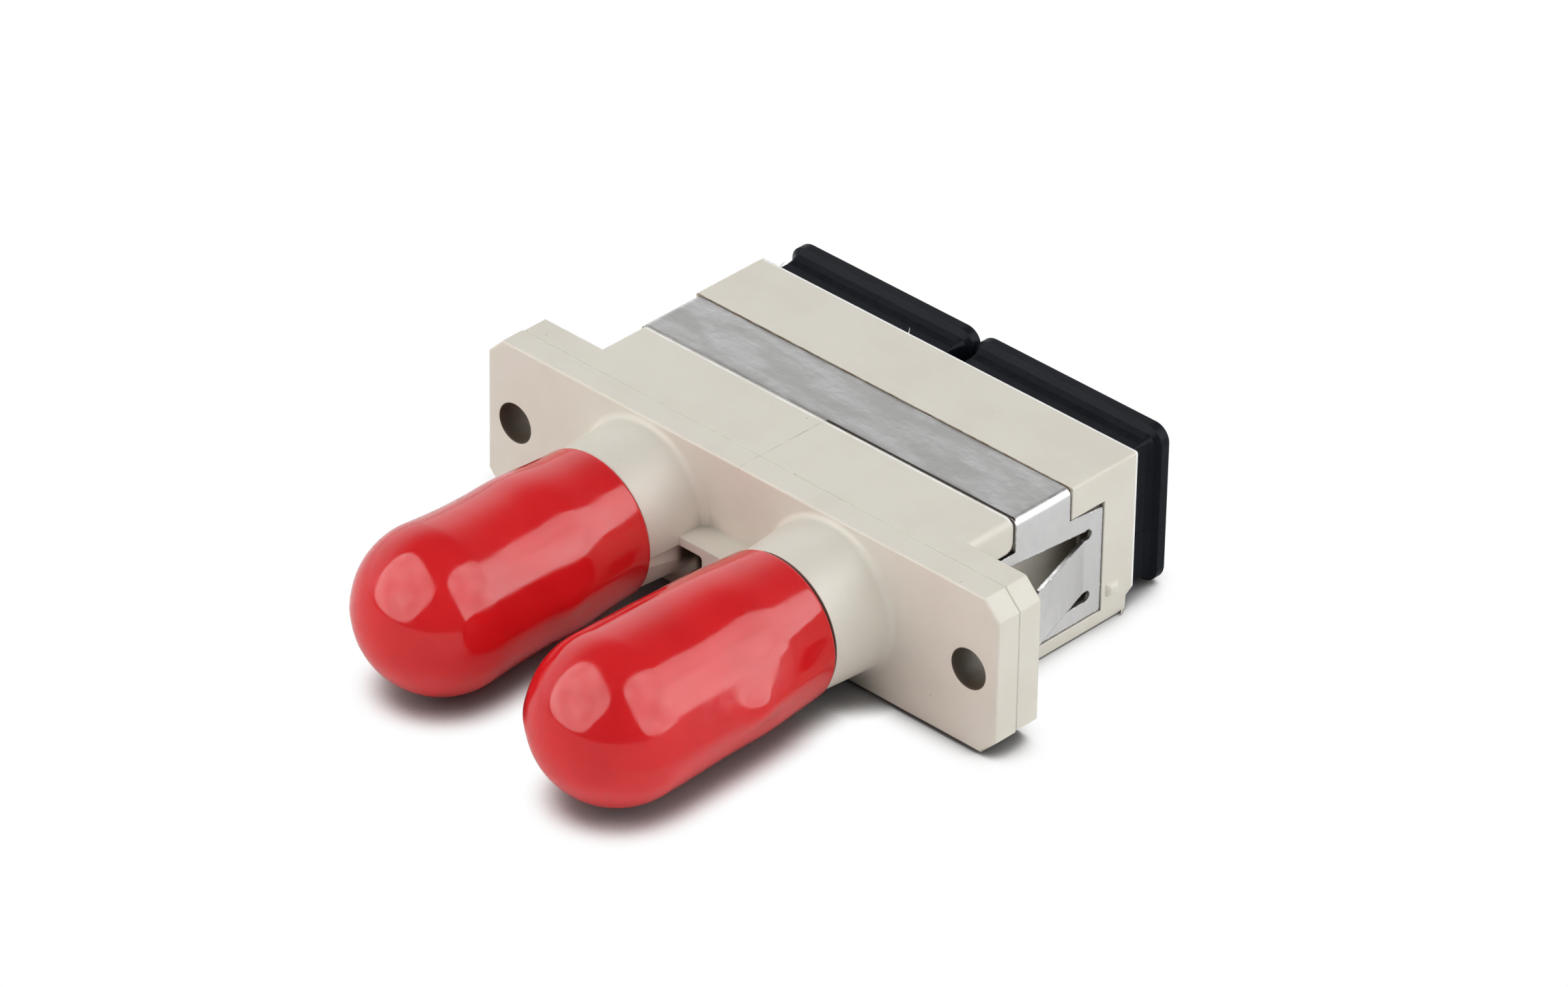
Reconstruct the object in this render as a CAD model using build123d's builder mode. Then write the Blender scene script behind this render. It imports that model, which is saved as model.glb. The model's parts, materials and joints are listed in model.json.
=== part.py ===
import os
from math import cos, radians, sin
from build123d import *

# A duplex fibre adapter: two round bayonet ports in front, two square ports behind.
# Sizes are in millimetres. X runs along the flange, Y along the fibres towards the
# square ports and Z up. The origin is on the flange's panel face, midway between its
# two screw holes, on the level of the fibre axes.

# The two ports and the flange
port_pitch = 12.7
flange_height = 9.0
flange_corner = 1.0
flange_front_thickness = 1.5
flange_rear_thickness = 1.5
flange_edge_round = 0.12
layer_mismatch = 0.04
weld_groove = 0.07
screw_spacing = 31.1
flange_end_margin = 1.9
screw_hole_radius = 1.1

# Bosses and bayonet barrels
boss_root_radius = 4.12
boss_end_radius = 3.88
boss_length = 3.65
boss_root_fillet = 0.35
barrel_radius = 3.5
barrel_length = 9.75
barrel_bore_radius = 2.5
barrel_edge_chamfer = 0.3
lug_radius = 0.9
lug_tip_radius = 4.15
lug_setback = 3.8
key_slot_width = 1.2
key_slot_depth = 2.4

# Web between the bosses, with a pocket each side of its rib
web_top = 0.12
web_height = 3.1
web_reach = 1.7
web_plate = 0.52
web_rib_width = 1.6
pocket_outer_x = 2.58
pocket_height = 2.1
pocket_depth = 2.4
pocket_corner = 0.22

# Split alignment sleeve and the lips that keep it in
sleeve_outer_radius = 1.6
sleeve_inner_radius = 1.25
sleeve_length = 11.4
sleeve_slit = 0.5
sleeve_play = 0.08
sleeve_end_play = 0.05
lip_hole_radius = 1.45
lip_thickness = 0.8

# Shell of the square ports
body_width = 25.74
body_top = 4.45
body_bottom = -4.7
body_depth = 12.0
body_edge_round = 0.15
band_inset = 0.06
tab_inset = 0.12
band_round = 0.5
port_width = 9.1
port_height = 7.5
port_lead_in = 0.35
port_corner = 0.3
plug_key_width = 2.2
plug_key_height = 0.55
plug_key_length = 5.0
rear_step_height = 0.9
rear_step_top = 1.9
rear_step_depth = 0.5
rear_step_draft = 0.1

# Spring clip, one folded sheet
sheet = 0.22
sheet_gap = 0.05
strip_front = 3.22
strip_width = 3.95
strip_groove = 0.07
bend_inner_radius = 0.18
plate_front = 0.1
plate_rear_margin = 2.4
plate_top = 2.55
plate_top_fall = 0.25
plate_overlap = 0.3
plate_bottom = -3.8
plate_corner = 0.15
wing_hinge_margin = 1.3
wing_top = 0.82
wing_bottom = -2.24
wing_flare = 0.15
wing_angle = 17.5
wing_length = 6.9
wing_bend_radius = 0.6
window_front = 1.2
window_flare = 0.6
relief_radius = 0.32
relief_setback = 0.2
slit_width = 0.58
wing_pocket_depth = 1.05
wing_pocket_margin = 0.3
wing_pocket_rear = 9.2
recess_margin = 0.06
recess_headroom = 0.07
recess_corner = 0.55

# Latch insert of a square port
insert_margin_x = 0.62
insert_margin_z = 0.2
insert_thickness = 1.45
insert_play = 0.05
insert_tube_radius = 2.45
hook_wall_gap = 0.4
hook_beam = 0.7
hook_setback = 3.5
hook_height = 3.4
hook_barb = 0.6
hook_barb_length = 1.7
hook_nose = 0.2

# Soft caps of the round ports
cap_bore_play = 0.06
cap_lug_play = 0.2
cap_rim_wall = 0.54
cap_lug_wall = 0.37
cap_side_wall = 0.45
cap_dome_swell = 0.95
cap_dome_wall = 0.5
cap_rim_gap_left = 0.05
cap_rim_gap_right = 0.2
cap_length_left = 15.0
cap_length_right = 15.5
cap_rim_round = 0.15
cap_stretch_reach = 1.3
cap_stretch_lift = 0.3
cap_stretch_play = 0.1

# Plug caps of the square ports
plug_play = 0.1
plug_wall = 0.75
plug_length = 5.0
plug_hook_slot = 4.4
plug_gap = 0.05
plug_neck_width = 11.5
plug_neck_height = 8.0
plug_neck_corner = 0.15
plug_neck_length = 1.0
plug_lip_gap = 0.06
plug_flare_length = 1.0
plug_flare_shares = ((0.0, 0.0), (0.4, 0.12), (0.75, 0.45), (1.0, 1.0))
plug_lip_thickness = 0.62
plug_lip_corner = 0.95
plug_lip_round = 0.15
plug_dish_rim = 1.2
plug_dish_depth = 0.6

# Places that follow from the sizes above
port_xs = (-port_pitch / 2, port_pitch / 2)
flange_length = screw_spacing + 2 * flange_end_margin
parting = -flange_rear_thickness
flange_front = parting - flange_front_thickness
boss_end = flange_front - boss_length
barrel_end = boss_end - barrel_length
lug_y = barrel_end + lug_setback
sleeve_front = parting - sleeve_length / 2
sleeve_rear = parting + sleeve_length / 2
sleeve_pocket_radius = sleeve_outer_radius + sleeve_play
pocket_front = sleeve_front - sleeve_end_play
tube_rear = sleeve_rear + sleeve_end_play + lip_thickness
body_height = body_top - body_bottom
body_middle = (body_top + body_bottom) / 2
side_out = body_width / 2 - band_inset
side_floor = side_out - sheet - sheet_gap
top_out = body_top - sheet_gap
top_floor = top_out - sheet - sheet_gap
strip_rear = strip_front + strip_width
strip_middle = (strip_front + strip_rear) / 2
plate_rear = body_depth - plate_rear_margin
wing_hinge = plate_rear - wing_hinge_margin
plug_flare = (port_pitch - plug_lip_gap - plug_neck_width) / 2
hook_length = body_depth - hook_setback
cap_dome_radius = barrel_radius + cap_dome_swell
recess_rear = plate_rear + recess_margin
recess_top = plate_top + recess_headroom
recess_bottom = plate_bottom - recess_margin
far = 2 * body_width
overcut = 1.0


def across(y):
    """Plane square to the fibres at y, facing the round ports."""
    return Plane.XZ.offset(-y)


def flange_layer(y, thickness, inset=0.0):
    """One layer of the flange, from y towards the round ports."""
    with BuildSketch(across(y)) as outline:
        Rectangle(flange_length - 2 * inset, flange_height - 2 * inset)
        chamfer(vertices(), flange_corner)
    extrude(outline.sketch, amount=thickness)


def screw_holes(y, thickness):
    """The two screw holes through one layer of the flange."""
    with BuildSketch(across(y)) as holes:
        with GridLocations(screw_spacing, 1, 2, 1):
            Circle(screw_hole_radius)
    extrude(holes.sketch, amount=thickness, mode=Mode.SUBTRACT)


# Front housing: flange layer, bosses, barrels with lugs, bores and the web
with BuildPart() as st_front_housing:
    flange_layer(parting, flange_front_thickness)
    chamfer(edges().filter_by_position(Axis.Y, parting, parting), weld_groove)
    fillet(faces().sort_by(Axis.Y)[0].edges(), flange_edge_round)
    for x in port_xs:
        with BuildSketch(Plane.XY) as boss_profile:
            with BuildLine():
                Polyline(
                    (x, flange_front),
                    (x + boss_root_radius, flange_front),
                    (x + boss_end_radius, boss_end),
                    (x, boss_end),
                    close=True,
                )
            make_face()
        revolve(axis=Axis((x, 0, 0), (0, 1, 0)))
    root_rings = edges().filter_by(GeomType.CIRCLE).filter_by_position(Axis.Y, flange_front, flange_front)
    fillet(root_rings, boss_root_fillet)

    # The barrels, their lugs at both sides and the chamfered mouth
    with BuildSketch(across(boss_end)):
        with GridLocations(port_pitch, 1, 2, 1):
            Circle(barrel_radius)
    extrude(amount=barrel_length)
    chamfer(faces().sort_by(Axis.Y)[0:2].edges(), barrel_edge_chamfer)
    for x in port_xs:
        with BuildSketch(Plane.YZ.offset(x)):
            with Locations((lug_y, 0)):
                Circle(lug_radius)
        extrude(amount=lug_tip_radius, both=True)

    # The web between the bosses
    with BuildSketch(across(flange_front)):
        with Locations((0, web_top - web_height / 2)):
            Rectangle(port_pitch - 2 * boss_end_radius, web_height)
    extrude(amount=web_reach)

    # The two pockets, whose outer walls also run flat along the bosses
    pocket_width = pocket_outer_x - web_rib_width / 2
    pocket_x = (pocket_outer_x + web_rib_width / 2) / 2
    with BuildSketch(across(boss_end)):
        with Locations((-pocket_x, web_top - web_plate - pocket_height / 2)):
            Rectangle(pocket_width, pocket_height)
        with Locations((pocket_x, web_top - web_plate - pocket_height / 2)):
            Rectangle(pocket_width, pocket_height)
        inner = vertices().filter_by_position(Axis.X, -web_rib_width / 2 - 0.01, web_rib_width / 2 + 0.01)
        fillet(inner, pocket_corner)
    extrude(amount=web_reach - pocket_depth - boss_length, mode=Mode.SUBTRACT)

    # Bore for the plug's nose, pocket for the sleeve and the lip between them
    with BuildSketch(across(barrel_end)):
        with GridLocations(port_pitch, 1, 2, 1):
            Circle(barrel_bore_radius)
    extrude(amount=barrel_end - (pocket_front - lip_thickness), mode=Mode.SUBTRACT)
    with BuildSketch(across(parting)):
        with GridLocations(port_pitch, 1, 2, 1):
            Circle(sleeve_pocket_radius)
    extrude(amount=parting - pocket_front, mode=Mode.SUBTRACT)
    with BuildSketch(across(parting)):
        with GridLocations(port_pitch, 1, 2, 1):
            Circle(lip_hole_radius)
    extrude(amount=parting - barrel_end, mode=Mode.SUBTRACT)

    # Key slot in the top of each barrel's mouth
    with BuildSketch(across(barrel_end)):
        with Locations((0, (barrel_bore_radius + lug_tip_radius) / 2)):
            with GridLocations(port_pitch, 1, 2, 1):
                Rectangle(key_slot_width, lug_tip_radius - barrel_bore_radius + barrel_edge_chamfer)
    extrude(amount=-key_slot_depth, mode=Mode.SUBTRACT)
    screw_holes(parting, flange_front_thickness)
st_front_housing.part.label = "st_front_housing"

# Outline of the window that each wing is cut out of, seen along X, as corners (y, z)
window_top = wing_top + slit_width
window_bottom = wing_bottom - slit_width
window_outline = (
    (wing_hinge, window_top),
    (wing_hinge, window_bottom),
    (window_front, window_bottom),
    (window_front, window_top + window_flare),
)

# Outline of the clip's side recess, seen along X, as corners (y, z)
recess_outline = (
    (0, recess_bottom),
    (recess_rear, recess_bottom),
    (recess_rear, recess_top),
    (strip_rear + strip_groove, recess_top),
    (strip_rear + strip_groove, body_top + overcut),
    (strip_front - strip_groove, body_top + overcut),
    (strip_front - strip_groove, recess_top),
    (0, recess_top),
)

# Rear housing: flange layer and the shell with its two square ports
with BuildPart() as sc_rear_housing:
    flange_layer(0, flange_rear_thickness, layer_mismatch)
    chamfer(edges().filter_by_position(Axis.Y, parting, parting), weld_groove)
    # The front band is a little narrower than the rear one
    with BuildSketch(across(0)):
        with Locations((0, body_middle)):
            Rectangle(2 * (side_out - tab_inset), body_height)
        fillet(vertices().group_by(Axis.Y)[-1], band_round)
    extrude(amount=-body_depth)
    with BuildSketch(across(body_depth)):
        with Locations((0, body_middle)):
            Rectangle(body_width, body_height)
        fillet(vertices(), body_edge_round)
    extrude(amount=body_depth - strip_rear)
    with BuildSketch(across(0)):
        with Locations((0, (recess_bottom + body_bottom) / 2)):
            Rectangle(body_width, recess_bottom - body_bottom)
        fillet(vertices().group_by(Axis.Y)[0], body_edge_round)
    extrude(amount=-body_depth)

    # Recess for the clip, down both sides and across the top
    for side in (-1, 1):
        with BuildSketch(Plane.YZ.offset(side * side_floor)):
            with BuildLine():
                Polyline(*recess_outline, close=True)
            make_face()
            tab_corner = vertices().filter_by_position(Axis.X, strip_front - strip_groove, strip_front)
            fillet(tab_corner.filter_by_position(Axis.Y, recess_top, recess_top), recess_corner)
        extrude(amount=side * far, mode=Mode.SUBTRACT)
        # A deeper pocket behind the wing gives it room to be pressed flat
        with BuildSketch(Plane.YZ.offset(side * side_floor)):
            with BuildLine():
                Polyline(*window_outline, close=True)
            make_face()
            offset(amount=wing_pocket_margin, kind=Kind.INTERSECTION)
            with Locations(((wing_hinge + wing_pocket_rear) / 2, (window_top + window_bottom) / 2)):
                Rectangle(wing_pocket_rear - wing_hinge, window_top - window_bottom + 2 * wing_pocket_margin)
        extrude(amount=-side * wing_pocket_depth, mode=Mode.SUBTRACT)
    with BuildSketch(Plane.XY.offset(top_floor)):
        with Locations((0, strip_middle)):
            Rectangle(far, strip_width + 2 * strip_groove)
    extrude(amount=far, mode=Mode.SUBTRACT)
    seat_edges = edges().filter_by(Axis.Y).filter_by_position(Axis.Z, top_floor, top_floor)
    fillet(seat_edges, bend_inner_radius + sheet_gap)

    # Square ports with their lead-in, and the seats of the latch inserts
    with BuildSketch(across(body_depth)):
        with GridLocations(port_pitch, 1, 2, 1):
            RectangleRounded(port_width, port_height, port_corner)
    extrude(amount=body_depth, mode=Mode.SUBTRACT)
    with BuildSketch(across(body_depth)) as mouth:
        with GridLocations(port_pitch, 1, 2, 1):
            RectangleRounded(port_width + 2 * port_lead_in, port_height + 2 * port_lead_in, port_corner)
    extrude(amount=port_lead_in, taper=45, mode=Mode.SUBTRACT)
    with BuildSketch(across(parting)):
        with GridLocations(port_pitch, 1, 2, 1):
            Rectangle(port_width + 2 * insert_margin_x, port_height + 2 * insert_margin_z)
    extrude(amount=parting, mode=Mode.SUBTRACT)

    # Key grooves in the floors of the ports
    with BuildSketch(across(body_depth)):
        with Locations((0, -port_height / 2)):
            with GridLocations(port_pitch, 1, 2, 1):
                Rectangle(plug_key_width, 2 * plug_key_height)
    extrude(amount=plug_key_length, mode=Mode.SUBTRACT)

    # The lower rear edge is set back
    with BuildSketch(Plane.YZ):
        with BuildLine():
            Polyline(
                (body_depth + overcut, body_bottom - overcut),
                (body_depth - rear_step_depth - rear_step_draft, body_bottom - overcut),
                (body_depth - rear_step_depth, body_bottom + rear_step_height),
                (body_depth + overcut, body_bottom + rear_step_top),
                close=True,
            )
        make_face()
    extrude(amount=far, both=True, mode=Mode.SUBTRACT)
    screw_holes(0, flange_rear_thickness)
sc_rear_housing.part.label = "sc_rear_housing"

# Spring clip: a strip over the top, a plate down each side and a wing cut out of each
wing_turn = radians(wing_angle)
clip_leg_end = plate_top - plate_overlap
with BuildPart() as spring_clip:
    with BuildSketch(across(strip_front)):
        with Locations((0, (clip_leg_end + top_out) / 2)):
            Rectangle(2 * side_out, top_out - clip_leg_end)
        fillet(vertices().group_by(Axis.Y)[-1], bend_inner_radius + sheet)
        with Locations((0, (clip_leg_end + top_out - sheet) / 2)):
            Rectangle(2 * (side_out - sheet), top_out - sheet - clip_leg_end, mode=Mode.SUBTRACT)
        inner = vertices().filter_by_position(Axis.Y, top_out - sheet - 0.01, top_out - sheet + 0.01)
        fillet(inner, bend_inner_radius)
    extrude(amount=-strip_width)

    # The wings, bent out about an upright line, widening towards their free ends
    for side in (-1, 1):
        with BuildSketch(Plane.XY.offset(wing_bottom - wing_flare)):
            with BuildLine():
                Polyline(
                    (side * side_out, wing_hinge + wing_bend_radius),
                    (side * side_out, wing_hinge),
                    (
                        side * (side_out + wing_length * sin(wing_turn)),
                        wing_hinge - wing_length * cos(wing_turn),
                    ),
                )
                fillet(vertices().filter_by_position(Axis.Y, wing_hinge, wing_hinge), wing_bend_radius)
                offset(amount=sheet, side=Side.RIGHT if side > 0 else Side.LEFT)
            make_face()
        extrude(amount=wing_top - wing_bottom + 2 * wing_flare)
    with BuildSketch(Plane.YZ):
        with BuildLine():
            Polyline(
                (wing_hinge - wing_length, wing_top + wing_flare),
                (wing_hinge, wing_top),
                (plate_rear, wing_top),
                (plate_rear, wing_top + overcut),
                (wing_hinge - wing_length, wing_top + overcut),
                close=True,
            )
        make_face()
        with BuildLine():
            Polyline(
                (wing_hinge - wing_length, wing_bottom - wing_flare),
                (wing_hinge, wing_bottom),
                (plate_rear, wing_bottom),
                (plate_rear, wing_bottom - overcut),
                (wing_hinge - wing_length, wing_bottom - overcut),
                close=True,
            )
        make_face()
    extrude(amount=far, both=True, mode=Mode.SUBTRACT)

    # The side plates, with the windows that the wings were bent out of
    for side in (-1, 1):
        with BuildSketch(Plane.YZ.offset(side * side_out)):
            with BuildLine():
                Polyline(
                    (plate_front, plate_bottom),
                    (plate_rear, plate_bottom),
                    (plate_rear, plate_top - plate_top_fall),
                    (strip_rear, plate_top),
                    (plate_front, plate_top),
                    close=True,
                )
            make_face()
            fillet(vertices().group_by(Axis.X)[-1], plate_corner)
            with BuildLine():
                Polyline(*window_outline, close=True)
            make_face(mode=Mode.SUBTRACT)
            for slit_z in (wing_top + slit_width / 2, wing_bottom - slit_width / 2):
                with Locations((wing_hinge + relief_setback, slit_z)):
                    Circle(relief_radius, mode=Mode.SUBTRACT)
        extrude(amount=-side * sheet)
spring_clip.part.label = "spring_clip"


def latch_insert(x, label):
    """Latch insert of the square port at x: base plate, sleeve tube and two hooks."""
    hook_out = port_width / 2 - hook_wall_gap
    hook_in = hook_out - hook_beam
    barb = hook_in - hook_barb
    with BuildPart() as insert:
        with BuildSketch(across(0)) as base:
            with Locations((x, 0)):
                Rectangle(
                    port_width + 2 * (insert_margin_x - insert_play),
                    port_height + 2 * (insert_margin_z - insert_play),
                )
        extrude(base.sketch, amount=insert_thickness)
        with BuildSketch(across(0)) as tube:
            with Locations((x, 0)):
                Circle(insert_tube_radius)
        extrude(tube.sketch, amount=-tube_rear)
        for side in (-1, 1):
            with BuildSketch(Plane.XY.offset(-hook_height / 2)) as hook:
                with BuildLine():
                    Polyline(
                        (x + side * hook_out, 0),
                        (x + side * hook_out, hook_length),
                        (x + side * (hook_in + hook_nose), hook_length),
                        (x + side * barb, hook_length - hook_barb_length / 2),
                        (x + side * barb, hook_length - hook_barb_length),
                        (x + side * hook_in, hook_length - hook_barb_length - hook_nose),
                        (x + side * hook_in, 0),
                        close=True,
                    )
                make_face()
            extrude(hook.sketch, amount=hook_height)
        with BuildSketch(across(sleeve_rear + sleeve_end_play)) as pocket:
            with Locations((x, 0)):
                Circle(sleeve_pocket_radius)
        extrude(pocket.sketch, amount=far, mode=Mode.SUBTRACT)
        with BuildSketch(across(tube_rear)) as lip_hole:
            with Locations((x, 0)):
                Circle(lip_hole_radius)
        extrude(lip_hole.sketch, amount=2 * lip_thickness, mode=Mode.SUBTRACT)
    insert.part.label = label
    return insert.part


def split_sleeve(x, label):
    """Split sleeve of the port at x, slit along its top."""
    with BuildPart() as sleeve:
        with BuildSketch(across(sleeve_rear)) as ring:
            with Locations((x, 0)):
                Circle(sleeve_outer_radius)
                Circle(sleeve_inner_radius, mode=Mode.SUBTRACT)
            with Locations((x, sleeve_outer_radius)):
                Rectangle(sleeve_slit, 2 * sleeve_outer_radius - sleeve_inner_radius, mode=Mode.SUBTRACT)
        extrude(ring.sketch, amount=sleeve_length)
    sleeve.part.label = label
    return sleeve.part


def round_cap(x, rim_gap, length, label):
    """Soft cap of the round barrel at x, bulged by the two lugs that it is stretched over."""
    rim = boss_end - rim_gap
    dome = rim - length + cap_dome_radius
    inner_dome = cap_dome_radius - cap_dome_wall
    inner_lug = lug_tip_radius + cap_lug_play
    inner_rim = barrel_radius + cap_bore_play
    stretch = cap_stretch_reach * lug_radius
    lift = cap_stretch_lift * cap_side_wall
    slack = cap_stretch_play * cap_side_wall
    with BuildPart() as cap:
        sections = []
        for y, wide, tall in (
            (rim, inner_rim + cap_rim_wall, inner_rim + cap_rim_wall),
            (lug_y + stretch, inner_lug + cap_lug_wall, inner_rim + cap_side_wall),
            (lug_y - stretch, inner_lug + cap_lug_wall, inner_rim + cap_side_wall + lift),
            (dome, cap_dome_radius, cap_dome_radius),
        ):
            with BuildSketch(across(y)) as section:
                with Locations((x, 0)):
                    Ellipse(wide, tall)
            sections.append(section.sketch)
        loft(sections)
        with BuildSketch(Plane.XY) as quarter:
            with BuildLine():
                Line((x, dome - cap_dome_radius), (x, dome))
                Line((x, dome), (x + cap_dome_radius, dome))
                CenterArc((x, dome), cap_dome_radius, 270, 90)
            make_face()
        revolve(quarter.sketch, axis=Axis((x, 0, 0), (0, 1, 0)))
        hollow = []
        for y, wide, tall in (
            (rim, inner_rim, inner_rim),
            (lug_y + stretch, inner_lug, inner_rim + slack),
            (lug_y - stretch, inner_lug, inner_rim + lift),
            (dome, inner_dome, inner_dome),
        ):
            with BuildSketch(across(y)) as section:
                with Locations((x, 0)):
                    Ellipse(wide, tall)
            hollow.append(section.sketch)
        loft(hollow, mode=Mode.SUBTRACT)
        with BuildSketch(Plane.XY) as quarter:
            with BuildLine():
                Line((x, dome - inner_dome), (x, dome))
                Line((x, dome), (x + inner_dome, dome))
                CenterArc((x, dome), inner_dome, 270, 90)
            make_face()
        revolve(quarter.sketch, axis=Axis((x, 0, 0), (0, 1, 0)), mode=Mode.SUBTRACT)
        fillet(edges().filter_by_position(Axis.Y, rim, rim), cap_rim_round)
    cap.part.label = label
    return cap.part


def plug_cap(x, label):
    """Plug cap of the square port at x: hollow skirt, neck and a flared lip to pull it by."""
    front = body_depth + plug_gap
    flare = front + plug_neck_length
    lip = flare + plug_flare_length
    rear = lip + plug_lip_thickness
    skirt_width = port_width - 2 * plug_play
    skirt_height = port_height - 2 * plug_play
    lip_width = plug_neck_width + 2 * plug_flare
    lip_height = plug_neck_height + 2 * plug_flare
    with BuildPart() as cap:
        with BuildSketch(across(front)) as neck:
            with Locations((x, 0)):
                RectangleRounded(plug_neck_width, plug_neck_height, plug_neck_corner)
        extrude(neck.sketch, amount=front - rear)
        # The flare sweeps out from the neck to the lip in a hollow curve
        sections = []
        for along, out in plug_flare_shares:
            with BuildSketch(across(flare + along * plug_flare_length)) as section:
                with Locations((x, 0)):
                    RectangleRounded(
                        plug_neck_width + 2 * out * plug_flare,
                        plug_neck_height + 2 * out * plug_flare,
                        plug_neck_corner + out * (plug_lip_corner - plug_neck_corner),
                    )
            sections.append(section.sketch)
        loft(sections, ruled=True)
        with BuildSketch(across(lip)) as edge:
            with Locations((x, 0)):
                RectangleRounded(lip_width, lip_height, plug_lip_corner)
        extrude(edge.sketch, amount=lip - rear)
        fillet(faces().sort_by(Axis.Y)[-1].edges(), plug_lip_round)
        with BuildSketch(across(rear)) as dish:
            with Locations((x, 0)):
                RectangleRounded(
                    plug_neck_width - 2 * plug_dish_rim,
                    plug_neck_height - 2 * plug_dish_rim,
                    plug_lip_corner,
                )
        extrude(dish.sketch, amount=plug_dish_depth, mode=Mode.SUBTRACT)
        with BuildSketch(across(front)) as skirt:
            with Locations((x, 0)):
                RectangleRounded(skirt_width, skirt_height, port_corner)
                Rectangle(skirt_width - 2 * plug_wall, skirt_height - 2 * plug_wall, mode=Mode.SUBTRACT)
        extrude(skirt.sketch, amount=plug_length)
        with BuildSketch(across(front - plug_length)) as slot:
            with Locations((x, 0)):
                Rectangle(port_width, plug_hook_slot)
        extrude(slot.sketch, amount=front - plug_length - hook_length - hook_wall_gap, mode=Mode.SUBTRACT)
    cap.part.label = label
    return cap.part


os.makedirs("parts", exist_ok=True)
pieces = [
    st_front_housing.part,
    sc_rear_housing.part,
    spring_clip.part,
    latch_insert(port_xs[0], "sc_latch_insert_left"),
    latch_insert(port_xs[1], "sc_latch_insert_right"),
    split_sleeve(port_xs[0], "alignment_sleeve_left"),
    split_sleeve(port_xs[1], "alignment_sleeve_right"),
    round_cap(port_xs[0], cap_rim_gap_left, cap_length_left, "st_dust_cap_left"),
    round_cap(port_xs[1], cap_rim_gap_right, cap_length_right, "st_dust_cap_right"),
    plug_cap(port_xs[0], "sc_dust_cap_left"),
    plug_cap(port_xs[1], "sc_dust_cap_right"),
]
for piece in pieces:
    export_step(piece, f"parts/{piece.label}.step")
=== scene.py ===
"""Looks of a duplex fibre adapter: finishes, soft caps, moulding marks and a plain studio.

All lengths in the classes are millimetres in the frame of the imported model: X along the
flange, Y along the fibres towards the square ports, Z up. Meshes are written in metres.
"""

import json
import logging
import math
from dataclasses import dataclass
from enum import Enum

import bpy
import numpy as np
from mathutils import Matrix, Vector


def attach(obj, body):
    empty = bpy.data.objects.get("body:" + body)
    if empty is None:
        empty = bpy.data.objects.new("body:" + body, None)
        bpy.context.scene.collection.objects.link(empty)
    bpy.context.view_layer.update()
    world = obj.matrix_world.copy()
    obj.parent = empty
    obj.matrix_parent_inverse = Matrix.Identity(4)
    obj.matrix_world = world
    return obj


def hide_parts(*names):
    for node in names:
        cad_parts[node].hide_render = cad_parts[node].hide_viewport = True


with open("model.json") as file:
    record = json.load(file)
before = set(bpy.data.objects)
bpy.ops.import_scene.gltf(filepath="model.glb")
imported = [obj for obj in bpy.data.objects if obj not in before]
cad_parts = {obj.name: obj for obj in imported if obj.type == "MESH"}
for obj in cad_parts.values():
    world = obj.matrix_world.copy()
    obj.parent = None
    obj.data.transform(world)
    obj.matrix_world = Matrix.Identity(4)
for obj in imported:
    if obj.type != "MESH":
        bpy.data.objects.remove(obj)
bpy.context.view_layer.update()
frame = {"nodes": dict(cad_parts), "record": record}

LOG = logging.getLogger("adapter")
MM = 0.001
TINY = 1e-6
FIBRE_PITCH = 12.7

Rgb = tuple[float, float, float]
Vec = tuple[float, float, float]
Outline = tuple[tuple[float, float], ...]
Socket = bpy.types.NodeSocket
Feed = Socket | float | tuple

X_AXIS: Vec = (1.0, 0.0, 0.0)
Y_AXIS: Vec = (0.0, 1.0, 0.0)
Z_AXIS: Vec = (0.0, 0.0, 1.0)


class Port(Enum):
    """The two fibres of the adapter; the value is the side of the fibre's axis along X."""

    LEFT = -1
    RIGHT = 1

    @property
    def word(self) -> str:
        """The side's word in the node and body names."""
        return self.name.lower()

    @property
    def axis_x(self) -> float:
        """Place of the fibre's axis along X."""
        return self.value * FIBRE_PITCH / 2


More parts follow.
